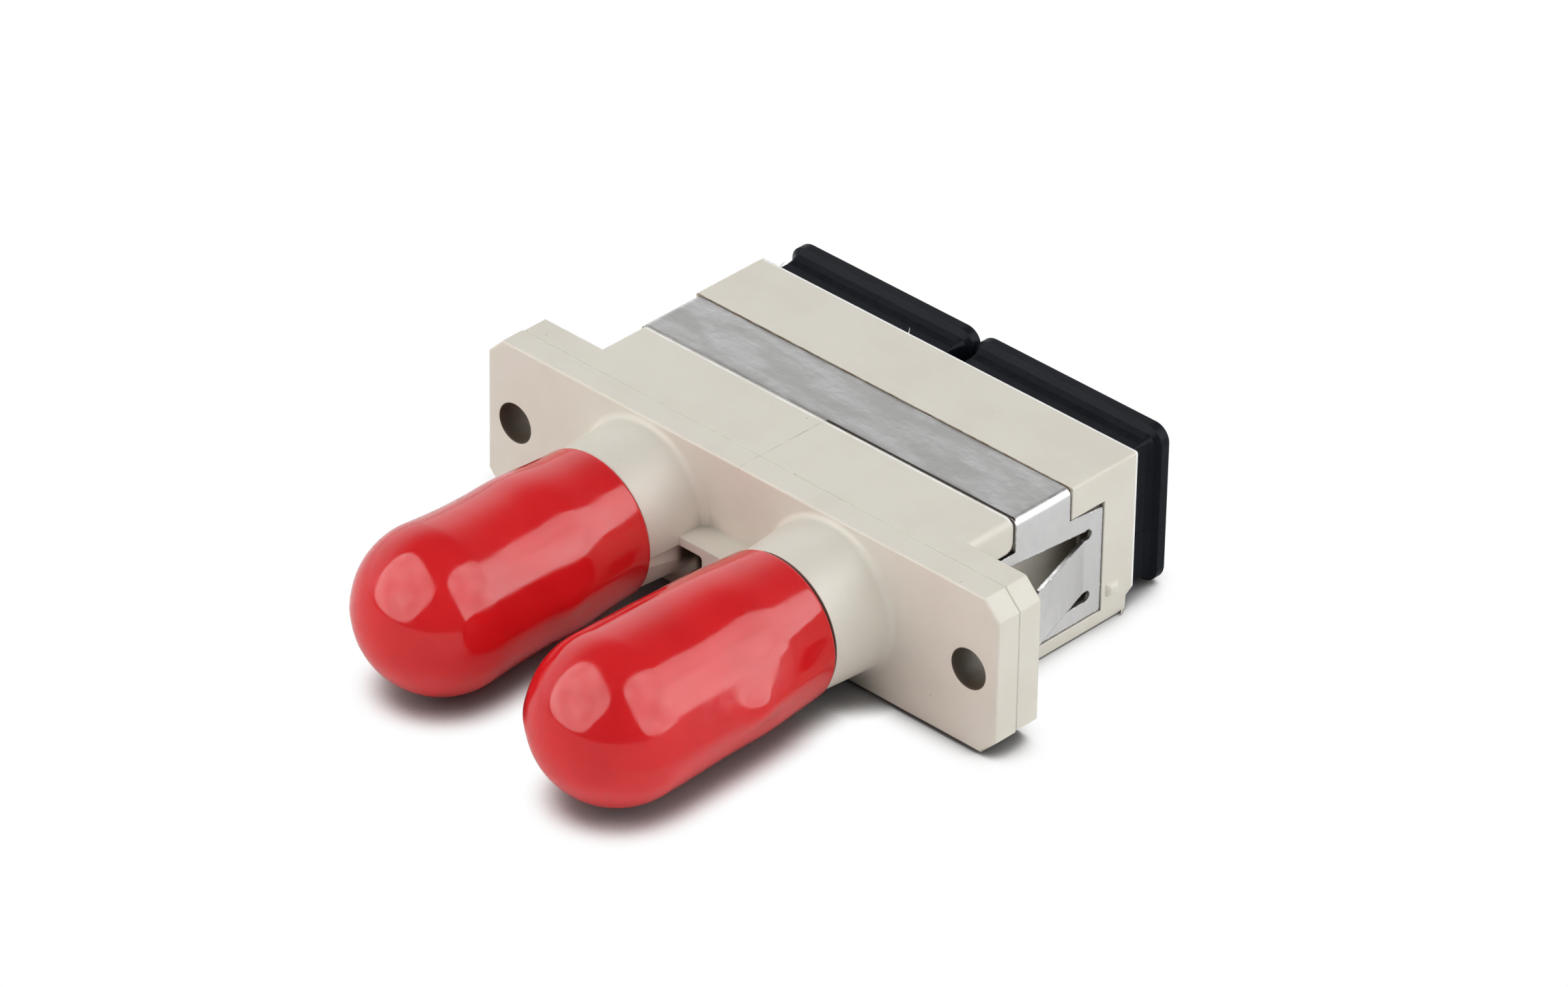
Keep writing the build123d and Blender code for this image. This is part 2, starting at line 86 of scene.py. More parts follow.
class Tree:
    """A node tree, with short ways to add and link its nodes."""

    def __init__(self, tree: bpy.types.NodeTree) -> None:
        """Args:
            tree: node tree of a material, a lamp or the world.
        """
        self.tree = tree

    def feed(self, socket: Socket, source: Feed) -> None:
        """Links a socket to another, or sets it to a plain value.

        Args:
            socket: input to be fed.
            source: an output socket, or the value to be set.
        """
        if isinstance(source, bpy.types.NodeSocket):
            self.tree.links.new(source, socket)
        else:
            socket.default_value = source

    def node(self, kind: str, feeds: dict[str | int, Feed], **settings: object) -> bpy.types.Node:
        """Adds a node.

        Args:
            kind: type name of the node without its "ShaderNode".
            feeds: what each named or numbered input gets.
            settings: properties of the node.

        Returns:
            The new node.
        """
        made = self.tree.nodes.new("ShaderNode" + kind)
        for key, value in settings.items():
            setattr(made, key, value)
        for key, source in feeds.items():
            self.feed(made.inputs[key], source)
        return made

    def vector(self, operation: str, a: Feed, b: Feed = (0, 0, 0)) -> Socket:
        """Vector arithmetic on one or two feeds."""
        made = self.node("VectorMath", {0: a, 1: b}, operation=operation)
        return made.outputs["Value" if operation in ("DOT_PRODUCT", "LENGTH") else "Vector"]

    def maths(self, operation: str, a: Feed, b: Feed = 0.0) -> Socket:
        """Arithmetic on one or two feeds."""
        return self.node("Math", {0: a, 1: b}, operation=operation).outputs[0]

    def product(self, first: Socket, *others: Feed) -> Socket:
        """Product of a socket and further feeds."""
        total = first
        for other in others:
            total = self.maths("MULTIPLY", total, other)
        return total

    def map_range(self, kind: str, source: Feed, low: float, high: float, start: float, end: float) -> Socket:
        """Maps the range low..high of a feed to start..end, clamped, by that kind of interpolation."""
        feeds = {"Value": source, "From Min": low, "From Max": high, "To Min": start, "To Max": end}
        return self.node("MapRange", feeds, interpolation_type=kind).outputs["Result"]

    def span(self, source: Feed, low: float, high: float, start: float = 0.0, end: float = 1.0) -> Socket:
        """Maps the range low..high of a feed to start..end, smoothly and clamped."""
        return self.map_range("SMOOTHSTEP", source, low, high, start, end)

    def ramp(self, source: Feed, low: float, high: float, start: float = 0.0, end: float = 1.0) -> Socket:
        """Maps the range low..high of a feed to start..end, evenly and clamped."""
        return self.map_range("LINEAR", source, low, high, start, end)


class Graph(Tree):
    """The node tree of one material, with coordinates that are read in millimetres."""

    MIX_A, MIX_B, MIX_RESULT = 6, 7, 2
    FLAT_COSINE, SHARP_COSINE = 0.995, 0.86
    NORMAL_SAMPLES = 6

    def __init__(self, name: str) -> None:
        """Args:
            name: name of the new material.
        """
        self.material = bpy.data.materials.new(name)
        self.material.use_nodes = True
        super().__init__(self.material.node_tree)
        self.tree.nodes.clear()
        self.output = self.node("OutputMaterial", {})
        place = self.node("TexCoord", {}).outputs["Object"]
        self.point = self.vector("MULTIPLY", place, (1 / MM, 1 / MM, 1 / MM))

    def place(self, axis: Vec) -> Socket:
        """Place of the shaded point along an axis."""
        return self.vector("DOT_PRODUCT", self.point, axis)

    def aside(self, axis: Vec) -> Socket:
        """Distance of the shaded point from the middle, along an axis."""
        return self.maths("ABSOLUTE", self.place(axis))

    def facing(self, axis: Vec) -> Socket:
        """How far the face looks along an axis: 1 straight along it and -1 straight against it."""
        return self.vector("DOT_PRODUCT", self.node("NewGeometry", {}).outputs["Normal"], axis)

    def within(self, source: Socket, middle: float, half: float, margin: float) -> Socket:
        """1 where a feed is within half of a middle value, fading to 0 over a margin."""
        off = self.maths("ABSOLUTE", self.maths("SUBTRACT", source, middle))
        return self.span(off, half + margin, half)

    def near(self, axis: Vec, place: float, reach: float) -> Socket:
        """1 close to the plane that stands at a place along an axis, and 0 beyond the reach."""
        return self.within(self.place(axis), place, 0.7 * reach, 0.3 * reach)

    def noise(
        self, scale: float, detail: float = 3.0, stretch: Vec = (1, 1, 1), rough: float = 0.5
    ) -> Socket:
        """Cloudy pattern around 0.5.

        Args:
            scale: features per millimetre.
            detail: octaves.
            stretch: factors on X, Y and Z, under 1 where the pattern is drawn out.
            rough: share of the finer octaves.

        Returns:
            The pattern's socket.
        """
        point = self.vector("MULTIPLY", self.point, stretch)
        feeds = {"Vector": point, "Scale": scale, "Detail": detail, "Roughness": rough}
        return self.node("TexNoise", feeds).outputs["Fac"]

    def specks(self, scale: float, size: float, share: float) -> Socket:
        """Sparse round specks: 1 inside a speck and 0 elsewhere.

        Args:
            scale: cells per millimetre.
            size: radius of a speck as a share of its cell.
            share: share of the cells that have a speck.

        Returns:
            The mask's socket.
        """
        cells = self.node("TexVoronoi", {"Vector": self.point, "Scale": scale})
        inside = self.span(cells.outputs["Distance"], size, size * 0.6)
        draw = self.node("SeparateColor", {0: cells.outputs["Color"]}).outputs[0]
        return self.product(inside, self.maths("LESS_THAN", draw, share))

    def blend(self, share: Feed, a: Feed, b: Feed) -> Socket:
        """Colour between a, at share 0, and b, at share 1."""
        made = self.node("Mix", {0: share}, data_type="RGBA")
        for number, colour in ((self.MIX_A, a), (self.MIX_B, b)):
            self.feed(made.inputs[number], (*colour, 1.0) if isinstance(colour, tuple) else colour)
        return made.outputs[self.MIX_RESULT]

    def rounded_normal(self, radius: float) -> Socket:
        """Normal that turns smoothly within a radius of an edge."""
        made = self.node("Bevel", {"Radius": radius * MM}, samples=self.NORMAL_SAMPLES)
        return made.outputs["Normal"]

    def edges(self, radius: float) -> Socket:
        """1 along the edges, where the rounded normal leaves the face's own normal."""
        facing = self.node("NewGeometry", {}).outputs["Normal"]
        turn = self.vector("DOT_PRODUCT", self.rounded_normal(radius), facing)
        return self.span(turn, self.FLAT_COSINE, self.SHARP_COSINE)

    def creases(self, reach: float, samples: int = 8) -> Socket:
        """1 in the open and 0 deep in a crease of that reach."""
        return self.node("AmbientOcclusion", {"Distance": reach * MM}, samples=samples).outputs["AO"]

    def bump(self, height: Socket, depth: float, normal: Socket | None = None) -> Socket:
        """Normal of a surface raised by height times depth."""
        feeds = {"Height": height, "Distance": depth * MM, "Strength": 1.0}
        if normal is not None:
            feeds["Normal"] = normal
        return self.node("Bump", feeds).outputs["Normal"]

    def surface(self, **feeds: Feed) -> bpy.types.Material:
        """Closes the tree with one physical surface.

        Args:
            feeds: sockets of the surface by name, with _ for a space.

        Returns:
            The material.
        """
        shader = self.node("BsdfPrincipled", {key.replace("_", " "): value for key, value in feeds.items()})
        self.feed(self.output.inputs["Surface"], shader.outputs[0])
        return self.material


@dataclass(frozen=True)
class Recess:
    """Pair of recesses in the housing, one each side of the middle, whose walls lie in shade."""

    x: float
    half: float
    margin: float
    z: float
    reach: float
    front: tuple[float, float]
    rear: tuple[float, float]
    share: float

    def mask(self, graph: Graph) -> Socket:
        """Share of shade inside the recesses.

        Across X it holds within half of x and fades over the margin, and along Z it holds
        within the reach of z. Along Y it fades in over the front pair and out over the rear.

        Args:
            graph: the material's graph.

        Returns:
            The mask's socket.
        """
        y = graph.place(Y_AXIS)
        return graph.product(
            graph.within(graph.aside(X_AXIS), self.x, self.half, self.margin),
            graph.near(Z_AXIS, self.z, self.reach),
            graph.span(y, *self.front),
            graph.span(y, *self.rear),
            self.share,
        )


@dataclass(frozen=True)
class MouldedPlastic:
    """Satin moulded plastic with faint clouding, specks, and edges made lighter by wear and a painted
    highlight.

    The seams, holes and pockets that it shades lie at their places on the housing.
    """

    name: str
    colour: Rgb
    shade: Rgb
    # Lighter tone of the edges: partly wear, partly a painted highlight.
    wear_and_highlight: Rgb
    roughness: float = 0.42
    edge: float = 0.09
    grain: float = 0.006
    gloss: float = 0.35
    glow: float = 0.06
    glow_tint: Rgb = (1.0, 0.8, 0.55)
    glow_depth: float = 0.5
    speck: Rgb = (0.2, 0.17, 0.12)
    # Reach of the painted shade in small creases.
    crease_shade_reach: float = 0.5
    hollow: Rgb = (0.13, 0.105, 0.075)
    hollow_reach: float = 2.2
    rear_y: float = 12.0
    # The rear rim has a painted highlight: a pale line of this reach and tone.
    rim_highlight_reach: float = 0.14
    rim_highlight: Rgb = (0.97, 0.97, 0.96)
    top_z: float = 4.2
    front_seam: float = 3.17
    rear_seam: float = 7.2
    front_seam_reach: float = 0.075
    rear_seam_reach: float = 0.055
    seam_white: Rgb = (0.95, 0.94, 0.92)
    # Tones of the painted shade in the gaps before and behind the strip.
    front_gap_shade: Rgb = (0.06, 0.05, 0.04)
    rear_gap_shade: Rgb = (0.24, 0.16, 0.1)
    parting_end: float = 3.1
    parting_fade: float = 0.2
    parting_reach: float = 0.035
    parting_side: float = 0.05
    left_gap_share: float = 0.35
    parting_grey: Rgb = (0.33, 0.29, 0.23)
    bore: Rgb = (0.07, 0.05, 0.032)
    bore_x: float = 15.55
    bore_radius: float = 1.12
    bore_margin: float = 0.03
    bore_depths: tuple[float, float] = (-2.8, -0.8)
    bore_shares: tuple[float, float] = (0.97, 0.4)
    web_pockets: Recess = Recess(
        x=1.69,
        half=0.91,
        margin=0.3,
        z=-1.45,
        reach=1.55,
        front=(-4.68, -4.18),
        rear=(-2.18, -2.28),
        share=0.94,
    )
    wing_pockets: Recess = Recess(
        x=12.13,
        half=0.36,
        margin=0.12,
        z=-0.7,
        reach=3.2,
        front=(0.8, 1.4),
        rear=(9.9, 9.4),
        share=0.92,
    )
    wing_pocket_run: tuple[float, float] = (2.5, 8.5)
    wing_pocket_light: Rgb = (0.36, 0.32, 0.23)
    wing_pocket_dark: Rgb = (0.045, 0.035, 0.025)

    def strip_seams(self, graph: Graph, colour: Socket) -> Socket:
        """Marks of the steel strip's seat on the top face.

        The gap before the strip has painted dark shade, stronger right of the mould's parting line; its front
        edge has a pale line that is partly wear and partly a painted highlight; the gap behind the strip has
        painted brown shade; and the parting line itself shows as a broken grey line.

        Args:
            graph: the material's graph.
            colour: colour of the plastic there.

        Returns:
            The colour with the marks.
        """
        top = graph.span(graph.place(Z_AXIS), self.top_z, self.top_z + 0.1)
        uneven = graph.span(graph.noise(scale=1.1, detail=4), 0.35, 0.65)
        # Pale line just before the front seam: partly wear, partly a painted highlight.
        pale_line_y = self.front_seam - 2 * self.front_seam_reach
        stronger = graph.span(graph.place(X_AXIS), -self.parting_side, self.parting_side, self.left_gap_share)
        before_seam = graph.span(graph.place(Y_AXIS), self.parting_end, self.parting_end - self.parting_fade)
        parting = graph.product(graph.near(X_AXIS, 0.0, self.parting_reach), before_seam)
        wear_and_highlight = graph.near(Y_AXIS, pale_line_y, self.front_seam_reach)
        # Painted shade in the gaps before and behind the strip.
        front = graph.near(Y_AXIS, self.front_seam, self.front_seam_reach)
        rear = graph.near(Y_AXIS, self.rear_seam, self.rear_seam_reach)
        marks = (
            (wear_and_highlight, graph.span(uneven, 0, 1, 0.45, 1), self.seam_white),
            (front, stronger, self.front_gap_shade),
            (rear, graph.span(uneven, 0, 1, 0.95, 0.5), self.rear_gap_shade),
            (parting, graph.span(uneven, 0, 1, 0.05, 0.4), self.parting_grey),
        )
        for place, share, tone in marks:
            colour = graph.blend(graph.product(place, share, top), colour, tone)
        return colour

    def bores(self, graph: Graph) -> Socket:
        """Share of shade on the walls of the two screw holes, deepest near the mouth."""
        folded = graph.vector("ABSOLUTE", graph.point)
        off = graph.vector("MULTIPLY", graph.vector("SUBTRACT", folded, (self.bore_x, 0, 0)), (1, 0, 1))
        outside = self.bore_radius + self.bore_margin
        inside = graph.span(graph.vector("LENGTH", off), outside, self.bore_radius)
        return graph.product(inside, graph.span(graph.place(Y_AXIS), *self.bore_depths, *self.bore_shares))

    def shade_holes(self, graph: Graph, colour: Socket) -> Socket:
        """Brown shade of the pockets and screw holes.

        The pockets behind the clip's wings are streaked and darken towards the rear.

        Args:
            graph: the material's graph.
            colour: colour of the plastic there.

        Returns:
            The colour with the shade.
        """
        streaks = graph.span(graph.noise(scale=4, stretch=(1.0, 2.5, 0.15)), 0.3, 0.7, 0.0, 0.25)
        run = graph.span(graph.place(Y_AXIS), *self.wing_pocket_run, 0.0, 0.85)
        shade = graph.blend(graph.maths("ADD", run, streaks), self.wing_pocket_light, self.wing_pocket_dark)
        colour = graph.blend(self.wing_pockets.mask(graph), colour, shade)
        holes = graph.maths("MAXIMUM", self.bores(graph), self.web_pockets.mask(graph))
        return graph.blend(holes, colour, self.bore)

    def material(self) -> bpy.types.Material:
        """Builds the material: two tones, dark specks, lighter edges, painted highlights and shade, and a
        fine grain.
        """
        graph = Graph(self.name)
        clouds = graph.span(graph.noise(scale=0.35, detail=4), 0.35, 0.7)
        colour = graph.blend(clouds, self.colour, self.shade)
        specks = graph.product(graph.specks(scale=1.3, size=0.09, share=0.06), 0.45)
        colour = graph.blend(specks, colour, self.speck)
        patchy = graph.span(graph.noise(scale=1.6, detail=4), 0.3, 0.65)
        # Edges lighter in patches: partly wear, partly a painted highlight on the rounded edges.
        colour = graph.blend(graph.product(graph.edges(self.edge), patchy, 0.6), colour, self.wear_and_highlight)
        # Painted highlight: a pale line along the housing's rear rim, on faces that don't look backwards.
        rear_rim_highlight = graph.product(
            graph.near(Y_AXIS, self.rear_y, self.rim_highlight_reach),
            graph.span(patchy, 0, 1, 0.8, 1),
            graph.span(graph.facing(Y_AXIS), 0.8, 0.5),
        )
        colour = graph.blend(rear_rim_highlight, colour, self.rim_highlight)
        colour = self.strip_seams(graph, colour)
        # Painted shade: darker in small creases, where ambient occlusion finds them.
        crease_shade = graph.span(graph.creases(self.crease_shade_reach), 0.55, 0.05, 0.0, 0.35)
        colour = graph.blend(crease_shade, colour, tuple(0.5 * part for part in self.shade))
        # Painted shade: hollows, holes and pockets darken to brown over a longer reach of ambient occlusion.
        hollow = graph.span(graph.creases(self.hollow_reach), 0.58, 0.12, 0.0, 0.9)
        colour = graph.blend(hollow, colour, self.hollow)
        colour = self.shade_holes(graph, colour)
        rough = graph.span(graph.noise(scale=2.5), 0.3, 0.7, self.roughness - 0.06, self.roughness + 0.08)
        waves = graph.bump(graph.noise(scale=0.6, detail=2), 0.02, graph.rounded_normal(self.edge))
        return graph.surface(
            Base_Color=colour,
            Roughness=rough,
            Normal=graph.bump(graph.noise(scale=14), self.grain, waves),
            Specular_IOR_Level=self.gloss,
            Subsurface_Weight=self.glow,
            Subsurface_Radius=self.glow_tint,
            Subsurface_Scale=self.glow_depth * MM,
        )


@dataclass(frozen=True)
class RolledSteel:
    """Folded sheet steel: rolling streaks, dull patches, painted shade on the top, and bends with wear and
    painted glints.
    """

    name: str
    colour: Rgb
    dull: Rgb
    # Darker tone of the top faces, a painted shade.
    top_shade: Rgb
    roughness: float = 0.3
    front_y: float = 3.22
    rear_y: float = 7.17
    front_dark_reach: float = 0.5
    rear_dark_reach: float = 0.3
    gap_depths: tuple[float, float] = (3.4, 3.33)
    parting_side: float = 0.05
    left_gap_share: float = 0.15
    bend: float = 0.14
    # Darker tone near the strip's front and rear edges.
    near_seam_dark: Rgb = (0.24, 0.23, 0.22)
    # Dark tone that wear leaves on the bends.
    wear_and_sheen: Rgb = (0.2, 0.19, 0.18)
    # Painted highlight: tone of the bright glints on the bends.
    glint: Rgb = (0.95, 0.95, 0.95)
    # Tone of the painted shade in the gap before the strip.
    gap: Rgb = (0.03, 0.025, 0.02)

    def bend_wear_and_glints(self, graph: Graph, colour: Socket, bends: Socket) -> Socket:
        """Rubs the bends dark in places, as wear, and paints bright glints in others as a painted highlight.

        Args:
            graph: the material's graph.
            colour: colour of the steel there.
            bends: mask of the bends.

        Returns:
            The colour with the wear and the painted glints.
        """
        wear_and_glint_noise = graph.noise(scale=5, detail=4, rough=0.7)
        dark = graph.product(bends, graph.span(wear_and_glint_noise, 0.6, 0.5, 0.0, 0.85))
        # Painted highlight: bright glints on the bends.
        bright = graph.product(bends, graph.span(wear_and_glint_noise, 0.54, 0.64))
        return graph.blend(bright, graph.blend(dark, colour, self.wear_and_sheen), self.glint)

    def material(self) -> bpy.types.Material:
        """Builds the material: patches and streaks in tone and gloss, painted shade on the top and in the
        gap, darker patches by the seams, and bends with wear and painted glints.
        """
        graph = Graph(self.name)
        y = graph.place(Y_AXIS)
        upward = graph.facing(Z_AXIS)
        top = graph.span(upward, 0.5, 0.9)
        patches = graph.noise(scale=0.7, detail=5, stretch=(0.35, 1.0, 0.6), rough=0.65)
        streaks = graph.noise(scale=5.0, detail=4, stretch=(0.06, 1.0, 0.06), rough=0.6)
        streaks = graph.blend(graph.span(upward, 0.2, 0.9), (0.5, 0.5, 0.5), streaks)
        mottled = graph.maths("ADD", graph.product(streaks, 0.5), graph.product(patches, 0.6))
        tone = graph.span(mottled, 0.3, 0.8)
        colour = graph.blend(tone, self.colour, self.dull)
        # Painted shade: the top faces are darker, in patches.
        top_shade_patches = graph.product(top, graph.span(patches, 0.35, 0.62, 0.25, 0.65))
        colour = graph.blend(top_shade_patches, colour, self.top_shade)
        # Darker patches on the top, near the strip's front and rear edges.
        off_front = graph.span(y, self.front_y, self.front_y + self.front_dark_reach)
        inner = graph.product(off_front, graph.span(y, self.rear_y, self.rear_y - self.rear_dark_reach))
        near_seam_dark = graph.product(graph.span(inner, 1.0, 0.0, 0.0, 0.6), graph.span(patches, 0.35, 0.6), top)
        colour = graph.blend(near_seam_dark, colour, self.near_seam_dark)
        clear = graph.maths("MAXIMUM", inner, graph.span(upward, 0.5, 0.2))
        bends = graph.product(graph.edges(self.bend), clear)
        colour = self.bend_wear_and_glints(graph, colour, bends)
        # Painted shade in the gap before the strip, stronger right of the parting line.
        stronger = graph.span(graph.place(X_AXIS), -self.parting_side, self.parting_side, self.left_gap_share)
        gap = graph.product(graph.span(y, *self.gap_depths), stronger, top)
        colour = graph.blend(gap, colour, self.gap)
        rough = graph.span(tone, 0.0, 1.0, self.roughness - 0.05, self.roughness + 0.16)
        rough = graph.maths("MAXIMUM", rough, graph.product(bends, 0.55))
        lines = graph.noise(scale=16.0, detail=2, stretch=(0.03, 1.0, 0.03))
        drawn = graph.bump(lines, 0.004, graph.rounded_normal(0.06))
        normal = graph.bump(graph.noise(scale=2.2, detail=4), 0.012, drawn)
        return graph.surface(Base_Color=colour, Roughness=rough, Metallic=1.0, Normal=normal)


@dataclass(frozen=True)
class SoftVinyl:
    """Glossy soft vinyl, dipped: a deep colour that light passes into, and a wavy skin."""

    name: str
    colour: Rgb
    thin: Rgb
    roughness: float = 0.1
    gloss: float = 0.42
    glow: float = 0.12
    glow_tint: Rgb = (1.0, 0.12, 0.06)
    glow_depth: float = 0.8

    def material(self) -> bpy.types.Material:
        """Builds the material: slow clouding in colour and gloss, and a smooth wavy skin."""
        graph = Graph(self.name)
        clouds = graph.span(graph.noise(scale=0.25, detail=2), 0.35, 0.7)
        rough = graph.span(graph.noise(scale=1.2), 0.3, 0.75, self.roughness - 0.03, self.roughness + 0.06)
        ripples = graph.bump(graph.noise(scale=1.3, detail=2), 0.003)
        waves = graph.bump(graph.noise(scale=0.4, detail=1), 0.015, ripples)
        return graph.surface(
            Base_Color=graph.blend(clouds, self.colour, self.thin),
            Roughness=rough,
            Normal=graph.bump(graph.noise(scale=6, detail=2), 0.001, waves),
            Specular_IOR_Level=self.gloss,
            Subsurface_Weight=self.glow,
            Subsurface_Radius=self.glow_tint,
            Subsurface_Scale=self.glow_depth * MM,
        )


@dataclass(frozen=True)
class SatinRubber:
    """Satin dark plastic with dust and a painted pale highlight along the edges."""

    name: str
    colour: Rgb
    # Pale tone of the painted highlight along the edges.
    wear_and_sheen: Rgb
    roughness: float = 0.3
    gloss: float = 0.06
    edge: float = 0.06
    dust: Rgb = (0.45, 0.45, 0.45)

    def material(self) -> bpy.types.Material:
        """Builds the material: clouding, a painted highlight along the edges, dust specks and a fine grain.
        """
        graph = Graph(self.name)
        clouds = graph.product(graph.span(graph.noise(scale=0.5, detail=4), 0.35, 0.7), 0.5)
        colour = graph.blend(clouds, self.colour, tuple(1.5 * part for part in self.colour))
        sheen_patches = graph.span(graph.noise(scale=1.2), 0.3, 0.7, 0.2, 0.9)
        # Painted highlight: pale lines along the edges, in patches.
        colour = graph.blend(graph.product(graph.edges(self.edge), sheen_patches), colour, self.wear_and_sheen)
        dust = graph.product(graph.specks(scale=0.9, size=0.05, share=0.12), 0.6)
        colour = graph.blend(dust, colour, self.dust)
        rough = graph.span(graph.noise(scale=2), 0.3, 0.7, self.roughness - 0.05, self.roughness + 0.1)
        waves = graph.bump(graph.noise(scale=0.7, detail=2), 0.02, graph.rounded_normal(0.08))
        normal = graph.bump(graph.noise(scale=9, detail=2), 0.002, waves)
        return graph.surface(Base_Color=colour, Roughness=rough, Normal=normal, Specular_IOR_Level=self.gloss)


@dataclass(frozen=True)
class SpringBronze:
    """Smooth drawn bronze of the split sleeves."""

    name: str
    colour: Rgb
    dark: Rgb
    roughness: float = 0.24

    def material(self) -> bpy.types.Material:
        """Builds the material: drawing lines along the sleeve and slow tarnish."""
        graph = Graph(self.name)
        tarnish = graph.span(graph.noise(scale=0.8, detail=4), 0.4, 0.75)
        lines = graph.noise(scale=9, detail=2, stretch=(1.0, 0.05, 1.0))
        colour = graph.blend(tarnish, self.colour, self.dark)
        rough = graph.span(lines, 0.3, 0.7, self.roughness - 0.05, self.roughness + 0.1)
        normal = graph.bump(lines, 0.003, graph.rounded_normal(0.05))
        return graph.surface(Base_Color=colour, Roughness=rough, Metallic=1.0, Normal=normal)


def bell(distance: np.ndarray, width: float) -> np.ndarray:
    """Bell curve: exp of minus the square of distance over width."""
    return np.exp(-((distance / width) ** 2))


def curve(points: Outline, at: np.ndarray) -> np.ndarray:
    """Smooth curve through a few points.

    On each span it is the cubic that meets both ends with the slopes s of the points there:
    (1 + 2t)(1 - t)^2 v0 + t^2 (3 - 2t) v1 + w t (1 - t)^2 s0 - w t^2 (1 - t) s1, with t the
    share of the span's width w.

    Args:
        points: places and values, in rising order of place.
        at: places where the curve is read; beyond the ends it keeps the end's value.

    Returns:
        The values there.
    """
    place, value = np.array(points).T
    slope = np.gradient(value, place)
    left = np.clip(np.searchsorted(place, at) - 1, 0, len(place) - 2)
    width = place[left + 1] - place[left]
    t = np.clip((at - place[left]) / width, 0.0, 1.0)
    ends = (1 + 2 * t) * (1 - t) ** 2 * value[left] + t**2 * (3 - 2 * t) * value[left + 1]
    return ends + width * (t * (1 - t) ** 2 * slope[left] - t**2 * (1 - t) * slope[left + 1])


def mesh_piece(
    name: str,
    points: np.ndarray,
    faces: list[np.ndarray],
    body: str,
    finish: bpy.types.Material,
) -> bpy.types.Object:
    """Makes a smooth-shaded piece of the object from arrays.

    Args:
        name: name of the piece.
        points: n by 3 array of vertices in millimetres.
        faces: arrays of vertex numbers, each of one number of corners.
        body: CAD body that the piece moves with.
        finish: material of the piece.

    Returns:
        The new object.
    """
    mesh = bpy.data.meshes.new(name)
    corners = [face for block in faces for face in block.tolist()]
    mesh.from_pydata((points * MM).tolist(), [], corners)
    mesh.polygons.foreach_set("use_smooth", np.ones(len(corners), dtype=bool))
    mesh.update()
    mesh.materials.append(finish)
    piece = bpy.data.objects.new(name, mesh)
    bpy.context.scene.collection.objects.link(piece)
    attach(piece, body)
    return piece


def closed_revolution(
    rings: np.ndarray, start: np.ndarray, end: np.ndarray
) -> tuple[np.ndarray, list[np.ndarray]]:
    """Closes a stack of rings into a skin with a pole at each end.

    Ring i's vertex j is joined to its neighbours j+1 and to ring i+1, and the first and
    last rings are joined to their poles by triangles.

    Args:
        rings: rows by columns by 3 array; each row runs once round.
        start: pole before the first ring.
        end: pole after the last ring.

    Returns:
        The vertices and the blocks of faces.
    """
    rows, columns, _ = rings.shape
    index = np.arange(rows * columns).reshape(rows, columns)
    turned = np.roll(index, -1, axis=1)
    quads = np.stack([index[:-1], turned[:-1], turned[1:], index[1:]], axis=-1).reshape(-1, 4)
    first = np.stack([np.full(columns, rows * columns), turned[0], index[0]], axis=-1)
    last = np.stack([np.full(columns, rows * columns + 1), index[-1], turned[-1]], axis=-1)
    points = np.concatenate([rings.reshape(-1, 3), start[None], end[None]])
    return points, [quads, first, last]


